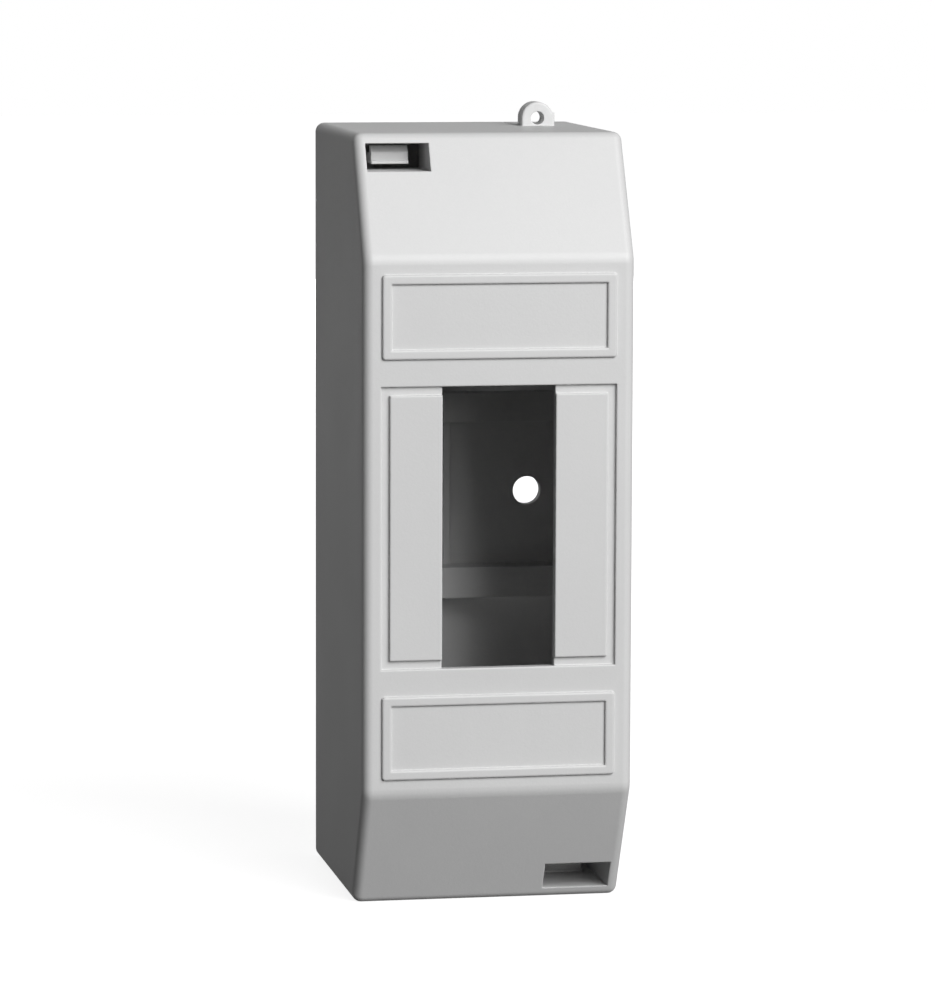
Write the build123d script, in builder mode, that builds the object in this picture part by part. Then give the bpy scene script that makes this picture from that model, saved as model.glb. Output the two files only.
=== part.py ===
from build123d import *

import os

# Surface-mounted box for one or two rail-mounted breakers: a deep clip-on cover over a moulded base.
# Millimetres. The origin is the centre of the wall face, X to the right, Y into the wall, Z up.

# Cover shell
width = 44.0  # across the side walls
height = 125.0  # top to bottom
depth = 50.0  # wall face to the flat front
end_depth = 39.5  # wall face to the front edge of the top and bottom walls
slope_height = 19.5  # each sloping end, from its bend to the end wall
wall = 1.8
edge_radius = 1.5  # along the side walls
end_radius = 1.6  # where a slope meets an end wall
bend_radius = 3.5  # where a slope meets the flat front

# Breaker window and the two break-out tabs beside it
window_width = 18.4  # one breaker pole
recess_width = 38.2  # the window's width with both tabs broken out
recess_height = 45.4
recess_depth = 0.6
tab_web = 1.4  # thin strip round each tab
score_width = 0.8
score_depth = 0.5
front_edge = 0.15  # rounding round the recess, the tabs and the window

# Raised frames round the two label fields
label_width = 38.0
label_height = 13.5
label_rim = 1.55
label_rise = 0.5
label_gap = 4.35  # recess to frame
label_corner = 0.5
label_edge = 0.3

# Release pockets, one at the top left and one at the bottom right
upper_pocket_width = 10.3
lower_pocket_width = 10.9
pocket_height = 4.4
pocket_relief = 0.2  # the pockets cut this deep into the inside of the end walls
pocket_back = 31.0  # wall face to the back of the pocket's own walls
pocket_wall = 1.2

# Latches: arms on the base, each with a barb that faces a ledge on the cover's end wall
latch_width = 6.0
upper_latch_inset = 1.6  # side wall to arm
lower_latch_inset = 2.2
latch_thickness = 1.7
latch_lip = 0.5  # push edge along the tip
upper_latch_reach = 36.6  # wall face to the tip
lower_latch_reach = 30.0
barb_rise = 1.2
barb_length = 2.0
barb_lead = 1.0
ledge_drop = 0.25
ledge_length = 1.2
ledge_margin = 0.5
catch_clearance = 0.1
catch_gap = 0.2
latch_root = 3.0  # gusset at the foot of an arm

# Stop ribs inside the cover's side walls
rib_height = 29.0  # above and below the middle
rib_thickness = 1.2
rib_rise = 1.0
rib_gap = 0.3

# Base plate with its rim
base_clearance = 0.35
plate = 2.0
plate_corner = 1.0
rim_thickness = 1.2
rim_depth = 6.0  # wall face to the top of the rim
rim_gap = 9.0  # opening in the rim's corner behind each latch

# Moulded mounting rail
rail_height = 35.0
rail_face = 7.5  # wall face to the front of the lips
rail_lip = 5.2
rail_thickness = 1.2
rail_rib = 1.2
rail_rib_rise = 0.8
core_slot_end = 1.4  # solid plate left at each end of a slot under a lip
core_slot_margin = 1.2  # slot to the lip's edge, so that no slot shows past the lip
core_slot_corner = 0.5

# Wall screws
screw_spacing = 28.0
screw_hole_radius = 2.4

# Cable knock-outs: in both end walls of the cover and in the plate
knockout_radius = 8.0
knockout_groove = 0.8
knockout_skin = 0.6
end_knockout_depth = 17.0  # wall face to the centre
plate_knockout_height = 43.0

# Seal lugs: one on the cover, one on the base, side by side above the top wall
lug_x = 12.75
lug_radius = 2.65
lug_hole_radius = 1.1
lug_rise = 1.3  # top wall to the centre of the hole
lug_thickness = 1.8
lug_gap = 0.2
lug_edge = 0.3
shoulder_width = 0.25  # square shoulder on the cover's lug, past its round side
shoulder_height = 2.1
seal_depth = 14.0  # wall face to the front of the base's lug
tongue_thickness = 3.0
tongue_clearance = 0.25


half_width = width / 2
half_height = height / 2
inner_half_width = half_width - wall
inner_half_height = half_height - wall
pocket_end = inner_half_height + pocket_relief
base_half_width = inner_half_width - base_clearance
base_half_height = inner_half_height - base_clearance
label_z = recess_height / 2 + label_gap + label_height / 2
pockets = ((1, upper_pocket_width), (-1, lower_pocket_width))  # side 1 is top left, -1 bottom right
latches = (
    (1, upper_latch_reach, upper_latch_inset),
    (-1, lower_latch_reach, lower_latch_inset),
)
front = Plane.XZ.offset(depth)
front_inside = Plane.XZ.offset(depth - wall)


def corner_plane(side):
    """Side-view plane for the top-left corner (side 1), or turned half a turn for the bottom right (-1)."""
    return Plane(origin=(0, 0, 0), x_dir=(0, 1, 0), z_dir=(side, 0, 0))


def seal_lug(lug_depth, shoulder):
    """A seal lug from inside the top wall to its round top, its front face at lug_depth."""
    with BuildPart() as lug:
        with BuildSketch(Plane.XZ.offset(lug_depth - lug_thickness)):
            with Locations((lug_x, half_height + lug_rise)):
                Circle(lug_radius)
            with Locations((lug_x, half_height - wall / 2)):
                Rectangle(2 * lug_radius, lug_rise + wall / 2, align=(Align.CENTER, Align.MIN))
                Rectangle(lug_radius + shoulder, shoulder_height + wall / 2, align=Align.MIN)
        extrude(amount=lug_thickness)
        fillet(lug.faces().filter_by(Axis.Y).edges(), lug_edge)
        with Locations(Plane.XZ.offset(lug_depth)):
            with Locations((lug_x, half_height + lug_rise)):
                Hole(lug_hole_radius)
    return lug.part


# Side view of the box, from the wall face round the front
with BuildLine() as profile:
    Polyline(
        (0, -half_height),
        (-end_depth, -half_height),
        (-depth, -half_height + slope_height),
        (-depth, half_height - slope_height),
        (-end_depth, half_height),
        (0, half_height),
        close=True,
    )

cover_lug = seal_lug(seal_depth + lug_gap + lug_thickness, shoulder_width)
base_lug = seal_lug(seal_depth, 0)

# The box's outer form, which the pocket walls are trimmed to
with BuildPart() as envelope:
    with BuildSketch(Plane.YZ) as outline:
        add(profile.line)
        make_face()
        fillet(outline.vertices().group_by(Axis.X)[0], bend_radius)
        fillet(outline.vertices().group_by(Axis.X)[-2], end_radius)
    extrude(amount=half_width, both=True)
    side_edges = envelope.faces().filter_by(Axis.X).edges()
    fillet(side_edges.filter_by_position(Axis.Y, -2 * depth, -wall), edge_radius)

# Walls of the two release pockets
with BuildPart() as pocket_walls:
    for side, pocket_width in pockets:
        with BuildSketch(Plane.XZ.offset(pocket_back)):
            with Locations((-side * inner_half_width, side * pocket_end)):
                Rectangle(
                    pocket_width + pocket_wall,
                    pocket_height + pocket_wall,
                    align=(Align.MIN, Align.MAX) if side > 0 else (Align.MAX, Align.MIN),
                )
        extrude(amount=depth - pocket_back)
    add(envelope.part, mode=Mode.INTERSECT)

# Front cover
with BuildPart() as cover:
    add(envelope.part)

    # Hollow, open to the wall
    with BuildSketch(Plane.YZ):
        add(profile.line)
        make_face()
        offset(amount=-wall, kind=Kind.INTERSECTION, mode=Mode.REPLACE)
        with Locations((-wall, 0)):
            Rectangle(2 * wall, 2 * inner_half_height, align=(Align.MIN, Align.CENTER))
    extrude(amount=inner_half_width, both=True, mode=Mode.SUBTRACT)
    add(pocket_walls.part)

    # Recess with a raised tab on each side of the window
    with BuildSketch(front):
        Rectangle(recess_width, recess_height)
    extrude(amount=-recess_depth, mode=Mode.SUBTRACT)
    with BuildSketch(front.offset(-recess_depth)):
        Rectangle(recess_width - 2 * tab_web, recess_height - 2 * tab_web)
    extrude(amount=recess_depth)
    with BuildSketch(front):
        Rectangle(window_width, recess_height)
    extrude(amount=-wall, mode=Mode.SUBTRACT)

    # Soft edges round the recess, the tabs and the window
    front_edges = cover.edges().filter_by_position(Axis.Y, -depth, -depth)
    front_edges = front_edges.filter_by_position(Axis.X, -recess_width / 2, recess_width / 2)
    front_edges = front_edges.filter_by_position(Axis.Z, -recess_height / 2, recess_height / 2)
    fillet(front_edges, front_edge)

    # Score line behind the strip round the tabs
    with BuildSketch(front_inside):
        Rectangle(recess_width - tab_web + score_width, recess_height - tab_web + score_width)
        Rectangle(
            recess_width - tab_web - score_width,
            recess_height - tab_web - score_width,
            mode=Mode.SUBTRACT,
        )
    extrude(amount=score_depth, mode=Mode.SUBTRACT)

    # Label frames
    with BuildSketch(front):
        with Locations((0, label_z), (0, -label_z)):
            RectangleRounded(label_width, label_height, label_corner)
            Rectangle(label_width - 2 * label_rim, label_height - 2 * label_rim, mode=Mode.SUBTRACT)
    extrude(amount=label_rise)
    fillet(cover.faces().group_by(Axis.Y)[0].edges(), label_edge)

    # Release pockets
    for side, pocket_width in pockets:
        with BuildSketch(Plane.XZ):
            with Locations((-side * inner_half_width, side * pocket_end)):
                Rectangle(
                    pocket_width,
                    pocket_height,
                    align=(Align.MIN, Align.MAX) if side > 0 else (Align.MAX, Align.MIN),
                )
        extrude(amount=2 * depth, mode=Mode.SUBTRACT)

    # Ledge that each latch barb faces
    for side, reach, inset in latches:
        with BuildSketch(corner_plane(side).offset(-(inner_half_width - inset + ledge_margin))):
            with Locations((barb_length + catch_gap - reach, inner_half_height - ledge_drop)):
                Rectangle(ledge_length, ledge_drop + wall / 2, align=Align.MIN)
        extrude(amount=latch_width + 2 * ledge_margin)

    # Stop ribs down to the base's rim
    with BuildSketch(Plane.XZ.offset(rim_depth + rib_gap)):
        with GridLocations(2 * inner_half_width, 2 * rib_height, 2, 2):
            Rectangle(2 * rib_rise, rib_thickness)
    extrude(amount=depth - rim_depth - rib_gap - wall / 2)

    # Slot for the base's tongue, and the cover's seal lug in front of it
    with BuildSketch(Plane.XY.offset(half_height + wall)):
        with Locations((lug_x, 0)):
            Rectangle(2 * (lug_radius + tongue_clearance), 2 * (seal_depth + lug_gap))
    extrude(amount=-3 * wall, mode=Mode.SUBTRACT)
    add(cover_lug)

    # Cable knock-outs in the end walls
    for end in (1, -1):
        with BuildSketch(Plane.XY.offset(end * inner_half_height)):
            with Locations((0, -end_knockout_depth)):
                Circle(knockout_radius)
                Circle(knockout_radius - knockout_groove, mode=Mode.SUBTRACT)
        extrude(amount=end * (wall - knockout_skin), mode=Mode.SUBTRACT)
cover.part.label = "front_cover"

# Wall base with its rail, latches and seal lug
with BuildPart() as base:
    # Plate and rim
    with BuildSketch(Plane.XZ):
        RectangleRounded(2 * base_half_width, 2 * base_half_height, plate_corner)
    extrude(amount=plate)
    with BuildSketch(Plane.XZ.offset(plate)):
        RectangleRounded(2 * base_half_width, 2 * base_half_height, plate_corner)
        Rectangle(
            2 * (base_half_width - rim_thickness),
            2 * (base_half_height - rim_thickness),
            mode=Mode.SUBTRACT,
        )
        for side in (1, -1):
            with Locations((-side * base_half_width, side * base_half_height)):
                Rectangle(
                    rim_gap,
                    rim_thickness,
                    align=(Align.MIN, Align.MAX) if side > 0 else (Align.MAX, Align.MIN),
                    mode=Mode.SUBTRACT,
                )
    extrude(amount=rim_depth - plate)

    # Rail: two risers that carry the lips, and a low rib down the middle
    with BuildSketch(Plane.YZ):
        with Locations((-plate / 2, rail_height / 2 - rail_lip)):
            Rectangle(rail_face - plate / 2, rail_thickness, align=(Align.MAX, Align.MIN))
        with Locations((-rail_face, rail_height / 2 - rail_lip)):
            Rectangle(rail_thickness, rail_lip, align=(Align.MIN, Align.MIN))
        mirror(about=Plane.XZ)
    extrude(amount=base_half_width, both=True)
    with BuildSketch(Plane.XZ.offset(plate / 2)):
        Rectangle(rail_rib, rail_height - 2 * rail_lip + rail_thickness)
    extrude(amount=plate / 2 + rail_rib_rise)

    # Core slots behind the lips
    slot_start = rail_height / 2 - rail_lip + rail_thickness
    slot_length = base_half_width - rim_thickness - 2 * core_slot_end - rail_rib / 2
    slot_height = rail_lip - rail_thickness - core_slot_margin
    with BuildSketch(Plane.XZ):
        with GridLocations(
            slot_length + 2 * core_slot_end + rail_rib, 2 * slot_start + slot_height, 2, 2
        ):
            RectangleRounded(slot_length, slot_height, core_slot_corner)
    extrude(amount=plate, mode=Mode.SUBTRACT)

    # Wall screw holes
    with Locations(Plane.XZ.offset(plate)):
        with GridLocations(screw_spacing, 0, 2, 1):
            Hole(screw_hole_radius, depth=plate)

    # Cable knock-outs
    with BuildSketch(Plane.XZ.offset(plate)):
        with Locations((0, plate_knockout_height), (0, -plate_knockout_height)):
            Circle(knockout_radius)
            Circle(knockout_radius - knockout_groove, mode=Mode.SUBTRACT)
    extrude(amount=-(plate - knockout_skin), mode=Mode.SUBTRACT)

    # Latches
    for side, reach, inset in latches:
        barb_top = inner_half_height - ledge_drop - catch_clearance
        arm_top = barb_top - barb_rise
        arm_foot = arm_top - latch_thickness
        with BuildSketch(corner_plane(side).offset(-(inner_half_width - inset))):
            with BuildLine():
                Polyline(
                    (-plate / 2, arm_foot - latch_root),
                    (-plate, arm_foot - latch_root),
                    (-plate - latch_root, arm_foot),
                    (-reach - latch_lip, arm_foot),
                    (-reach - latch_lip, arm_foot + latch_lip),
                    (-reach, arm_foot + latch_lip),
                    (-reach, barb_top - barb_lead),
                    (-reach + barb_lead, barb_top),
                    (-reach + barb_length, barb_top),
                    (-reach + barb_length, arm_top),
                    (-plate / 2, arm_top),
                    close=True,
                )
            make_face()
        extrude(amount=latch_width)

    # Tongue through the cover's slot, with the seal lug at its end
    with BuildSketch(Plane.XY.offset(half_height)):
        with Locations((lug_x, 0)):
            Rectangle(2 * lug_radius, seal_depth, align=(Align.CENTER, Align.MAX))
    extrude(amount=-tongue_thickness)
    add(base_lug)
base.part.label = "wall_base"

os.makedirs("parts", exist_ok=True)
export_step(cover.part, "parts/front_cover.step")
export_step(base.part, "parts/wall_base.step")
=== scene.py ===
from math import cos, radians, sin

import bmesh
import bpy
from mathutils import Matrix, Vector


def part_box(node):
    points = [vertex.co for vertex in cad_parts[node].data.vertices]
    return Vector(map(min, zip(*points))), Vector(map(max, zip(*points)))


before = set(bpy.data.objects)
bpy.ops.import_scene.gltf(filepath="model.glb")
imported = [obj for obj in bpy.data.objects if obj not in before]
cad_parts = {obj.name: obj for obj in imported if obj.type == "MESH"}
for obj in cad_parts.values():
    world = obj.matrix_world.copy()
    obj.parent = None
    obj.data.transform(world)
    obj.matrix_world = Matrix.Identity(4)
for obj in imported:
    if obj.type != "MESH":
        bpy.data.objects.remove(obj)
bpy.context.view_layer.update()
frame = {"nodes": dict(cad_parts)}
scene = bpy.context.scene
print("frame loaded:", ", ".join(frame["nodes"]))


class Wire:  # a socket that takes Python's arithmetic
    def __init__(self, sheet, socket):
        self.sheet = sheet
        self.socket = socket

    def reckon(self, operation, first, second, clamp=False):
        values = {0: first, 1: second}
        return self.sheet.node("ShaderNodeMath", values, operation=operation, use_clamp=clamp)

    def __add__(self, other):
        return self.reckon("ADD", self, other)

    def __sub__(self, other):
        return self.reckon("SUBTRACT", self, other)

    def __rsub__(self, other):
        return self.reckon("SUBTRACT", other, self)

    def __mul__(self, other):
        return self.reckon("MULTIPLY", self, other)

    def __truediv__(self, other):
        return self.reckon("DIVIDE", self, other)

    def __pow__(self, other):
        return self.reckon("POWER", self, other)

    def clip(self):  # keeps the value between 0 and 1
        return self.reckon("ADD", self, 0.0, clamp=True)

    __radd__ = __add__


class Sheet:  # one node tree, of a material or of the world
    def __init__(self, owner):
        owner.use_nodes = True
        self.tree = owner.node_tree
        self.tree.nodes.clear()

    def node(self, kind, inputs=None, output=0, **settings):
        made = self.tree.nodes.new(kind)
        for name, value in settings.items():
            setattr(made, name, value)
        for name, value in (inputs or {}).items():
            if isinstance(value, Wire):
                self.tree.links.new(value.socket, made.inputs[name])
            else:
                made.inputs[name].default_value = value
        return Wire(self, made.outputs[output]) if made.outputs else None

    def noise(self, place, scale, detail=2.0, roughness=0.5, distortion=0.0):
        inputs = {
            "Vector": place,
            "Scale": scale,
            "Detail": detail,
            "Roughness": roughness,
            "Distortion": distortion,
        }
        return self.node("ShaderNodeTexNoise", inputs)

    def blend(self, share, first, second):  # 6, 7 and 2 are the mix node's colour sockets
        inputs = {0: share, 6: first, 7: second}
        return self.node("ShaderNodeMix", inputs, output=2, data_type="RGBA", blend_type="MIX")


def grey(level):
    return (level, level, level, 1.0)


def mouldedPlastic(name, look):
    material = bpy.data.materials.new(name)
    sheet = Sheet(material)
    place = sheet.node("ShaderNodeTexCoord", output="Object")

    cloud = sheet.noise(place, **look["cloud"])
    fleck = sheet.noise(place, **look["fleck"])
    grain = sheet.noise(place, **look["grain"])
    pebbleInputs = {"Vector": place, "Scale": look["pebbleScale"]}
    pebble = sheet.node("ShaderNodeTexVoronoi", pebbleInputs, feature="SMOOTH_F1")
    streakInputs = {"Vector": place, "Scale": look["streakStretch"]}
    streakPlace = sheet.node("ShaderNodeMapping", streakInputs, vector_type="POINT")
    streak = sheet.noise(streakPlace, **look["streak"])

    # Rounded edges, paler along the rims as rubbed wear and as painted highlight, and painted
    # shade in the corners
    radius = {"Radius": look["edgeRadius"]}
    softNormal = sheet.node("ShaderNodeBevel", radius, samples=look["samples"])
    flatNormal = sheet.node("ShaderNodeNewGeometry", output="Normal")
    normals = {0: softNormal, 1: flatNormal}
    likeness = sheet.node("ShaderNodeVectorMath", normals, "Value", operation="DOT_PRODUCT")
    bend = ((1.0 - likeness) * look["edgeGain"]).clip()
    edgeWearAndHighlight = bend * (look["edgeLeast"] + fleck * look["edgeVaries"])
    # Painted shade: occlusion darkens the tone in corners and recesses, and makes them rougher
    reach = {"Distance": look["cornerReach"]}
    openness = sheet.node(
        "ShaderNodeAmbientOcclusion", reach, "AO", samples=look["samples"], only_local=True
    )
    cornerShade = (1.0 - openness) ** look["cornerPower"]

    # Tone and gloss swing about the noises' middle
    middle = 0.5
    cloudSwing = cloud - middle
    fleckSwing = fleck - middle
    grainSwing = grain - middle
    streakSwing = streak - middle
    share = (
        cloudSwing * look["cloudTone"]
        + fleckSwing * look["fleckTone"]
        + grainSwing * look["grainTone"]
        + middle
        + streakSwing * look["streakTone"]
    ).clip()
    tone = sheet.blend(share, look["deepTone"], look["paleTone"])
    # Paler edge tone: partly rubbed wear, partly a painted highlight along the rims
    tone = sheet.blend((edgeWearAndHighlight * look["edgeWearHighlightShare"]).clip(), tone, look["edgeWearHighlightTone"])
    # painted shade in occluded corners
    tone = sheet.blend((cornerShade * look["cornerShadeShare"]).clip(), tone, look["cornerShadeTone"])
    roughness = (
        cloudSwing * look["cloudGloss"]
        + look["roughness"]
        + grainSwing * look["grainGloss"]
        + streakSwing * look["streakGloss"]
        - edgeWearAndHighlight * look["edgeGloss"]
        + cornerShade * look["cornerGloss"]
    ).clip()

    height = grain * look["grainBump"] + pebble * look["pebbleBump"] + fleck * look["fleckBump"]
    bumpInputs = {
        "Height": height,
        "Strength": look["bumpStrength"],
        "Distance": look["bumpDepth"],
        "Normal": softNormal,
    }
    surface = {
        "Base Color": tone,
        "Roughness": roughness,
        "Normal": sheet.node("ShaderNodeBump", bumpInputs),
        "IOR": look["ior"],
        "Specular IOR Level": look["specular"],
    }
    shader = sheet.node("ShaderNodeBsdfPrincipled", surface)
    sheet.node("ShaderNodeOutputMaterial", {"Surface": shader})
    return material


# Camera at the photograph's angle
cameraLook = {
    "place": (-0.14377, -0.79586, 0.09718),
    "turn": (83.033, -0.188, -10.505),
    "lens": 172.44,
    "sensor": 36.0,
    "nearest": 0.01,
    "farthest": 50.0,
}
cameraData = bpy.data.cameras.new("camera")
cameraData.lens = cameraLook["lens"]
cameraData.sensor_width = cameraLook["sensor"]
cameraData.clip_start = cameraLook["nearest"]
cameraData.clip_end = cameraLook["farthest"]
camera = bpy.data.objects.new("camera", cameraData)
camera.location = cameraLook["place"]
camera.rotation_euler = [radians(angle) for angle in cameraLook["turn"]]
scene.collection.objects.link(camera)
scene.camera = camera
scene.view_settings.view_transform = "Standard"
print("camera set")

# Front cover: pale grey moulded plastic with a fine spark-eroded grain
coverLook = {
    "paleTone": (0.655, 0.655, 0.652, 1.0),
    "deepTone": (0.585, 0.586, 0.588, 1.0),
    # pale edge tone: rubbed wear and painted highlight
    "edgeWearHighlightTone": (0.84, 0.84, 0.838, 1.0),
    # dark tone of the painted corner shade
    "cornerShadeTone": (0.36, 0.355, 0.345, 1.0),
    "cloud": {"scale": 42.0, "detail": 3.0, "roughness": 0.55, "distortion": 0.4},
    "cloudTone": 0.5,
    "cloudGloss": 0.12,
    "fleck": {"scale": 900.0, "roughness": 0.6},
    "fleckTone": 0.25,
    "fleckBump": 0.15,
    "grain": {"scale": 3600.0, "roughness": 0.65},
    "grainTone": 0.5,
    "grainGloss": 0.14,
    "grainBump": 0.45,
    "pebbleScale": 2400.0,
    "pebbleBump": 0.4,
    "streak": {"scale": 1.0, "distortion": 0.3},
    "streakStretch": (260.0, 260.0, 14.0),
    "streakTone": 0.2,
    "streakGloss": 0.08,
    "samples": 4,
    "edgeRadius": 0.00035,
    "edgeGain": 5.0,
    "edgeLeast": 0.55,
    "edgeVaries": 0.9,
    "edgeWearHighlightShare": 0.75,
    "edgeGloss": 0.12,
    "cornerReach": 0.0016,
    "cornerPower": 1.4,
    "cornerShadeShare": 0.1,
    "cornerGloss": 0.1,
    "roughness": 0.43,
    "bumpStrength": 0.35,
    "bumpDepth": 0.00005,
    "ior": 1.5,
    "specular": 0.6,
}
coverPlastic = mouldedPlastic("paleGreyPlastic", coverLook)

# Wall base: the same plastic, a little darker, its paler edges (wear and painted highlight)
# weaker, its streaks along X
baseLook = {
    **coverLook,
    "paleTone": (0.62, 0.62, 0.618, 1.0),
    "deepTone": (0.55, 0.551, 0.553, 1.0),
    "grain": {"scale": 3000.0, "roughness": 0.65},
    "streakStretch": (16.0, 220.0, 220.0),
    # weaker painted highlight and wear along the base's edges
    "edgeWearHighlightShare": 0.45,
    # the painted corner shade reaches further on the base
    "cornerReach": 0.003,
    "roughness": 0.42,
    "bumpDepth": 0.00004,
    "specular": 0.5,
}
basePlastic = mouldedPlastic("baseGreyPlastic", baseLook)

nodeFinishes = {"front_cover": coverPlastic, "wall_base": basePlastic}
for nodeName, finish in nodeFinishes.items():
    for slot in frame["nodes"][nodeName].material_slots:
        slot.material = finish
print("plastic on", len(nodeFinishes), "nodes")

# Backdrop, shared by floor and world: whole for camera rays, dimmer in reflections
backdropLook = {"tone": grey(1.0), "strength": 1.0, "mirrored": 0.25}


def seenShare(sheet):
    direct = sheet.node("ShaderNodeLightPath", output="Is Camera Ray")
    glossy = sheet.node("ShaderNodeLightPath", output="Is Glossy Ray")
    clear = sheet.node("ShaderNodeLightPath", output="Is Transmission Ray")
    return (direct + (glossy + clear) * backdropLook["mirrored"]).clip()


# Floor: white to the camera, still a matt surface that takes the shadow
floorLook = {
    "size": 3.0,
    "bounce": grey(0.06),
    "glow": grey(0.87),
    "shadow": grey(0.35),
    "whiteFrom": 0.1,
    "whiteOver": 0.5,
}
floorMesh = bpy.data.meshes.new("floor")
build = bmesh.new()
bmesh.ops.create_grid(build, x_segments=1, y_segments=1, size=floorLook["size"])
bmesh.ops.translate(build, verts=build.verts, vec=Vector((0.0, 0.0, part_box("front_cover")[0].z)))
build.to_mesh(floorMesh)
build.free()
floor = bpy.data.objects.new("floor", floorMesh)
scene.collection.objects.link(floor)

floorPaint = bpy.data.materials.new("floorPaint")
floorSheet = Sheet(floorPaint)
matt = floorSheet.node("ShaderNodeBsdfDiffuse", {"Color": floorLook["bounce"]})
floorPlace = floorSheet.node("ShaderNodeTexCoord", output="Object")
away = floorSheet.node("ShaderNodeVectorMath", {0: floorPlace}, "Value", operation="LENGTH")
whitening = ((away - floorLook["whiteFrom"]) / floorLook["whiteOver"]).clip()
floorTone = floorSheet.blend(whitening, floorLook["glow"], backdropLook["tone"])
glowInputs = {"Color": floorTone, "Strength": backdropLook["strength"]}
glow = floorSheet.node("ShaderNodeEmission", glowInputs)
shadow = floorSheet.node("ShaderNodeBsdfDiffuse", {"Color": floorLook["shadow"]})
bright = floorSheet.node("ShaderNodeAddShader", {0: glow, 1: shadow})
mixed = floorSheet.node("ShaderNodeMixShader", {0: seenShare(floorSheet), 1: matt, 2: bright})
floorSheet.node("ShaderNodeOutputMaterial", {"Surface": mixed})
floorMesh.materials.append(floorPaint)

# World: white behind the object, a weak even fill on it
worldLook = {"fill": 0.085}
world = bpy.data.worlds.new("studio")
scene.world = world
worldSheet = Sheet(world)
fillInputs = {"Color": backdropLook["tone"], "Strength": worldLook["fill"]}
fill = worldSheet.node("ShaderNodeBackground", fillInputs)
whiteInputs = {"Color": backdropLook["tone"], "Strength": backdropLook["strength"]}
white = worldSheet.node("ShaderNodeBackground", whiteInputs)
sky = worldSheet.node("ShaderNodeMixShader", {0: seenShare(worldSheet), 1: fill, 2: white})
worldSheet.node("ShaderNodeOutputWorld", {"Surface": sky})

# A large soft lamp in front and above, and a weak one behind that lights the wall side
lampRig = {"aim": (0.0, -0.025, 0.0), "distance": 1.3}
lampLooks = {
    "keyLamp": {"turn": 26.0, "rise": 28.5, "size": 1.0, "power": 21.8, "mirrored": True},
    "rearLamp": {"turn": 180.0, "rise": 6.0, "size": 0.6, "power": 10.0, "mirrored": False},
}
for lampName, look in lampLooks.items():
    lampData = bpy.data.lights.new(lampName, "AREA")
    lampData.shape = "SQUARE"
    lampData.size = look["size"]
    lampData.energy = look["power"]
    lamp = bpy.data.objects.new(lampName, lampData)
    turn, rise = radians(look["turn"]), radians(look["rise"])
    direction = Vector((sin(turn) * cos(rise), -cos(turn) * cos(rise), sin(rise)))
    lamp.location = direction * lampRig["distance"] + Vector(lampRig["aim"])
    lamp.visible_glossy = look["mirrored"]
    lamp.rotation_euler = direction.to_track_quat("Z", "Y").to_euler()
    scene.collection.objects.link(lamp)
print("floor, world and lamps set")
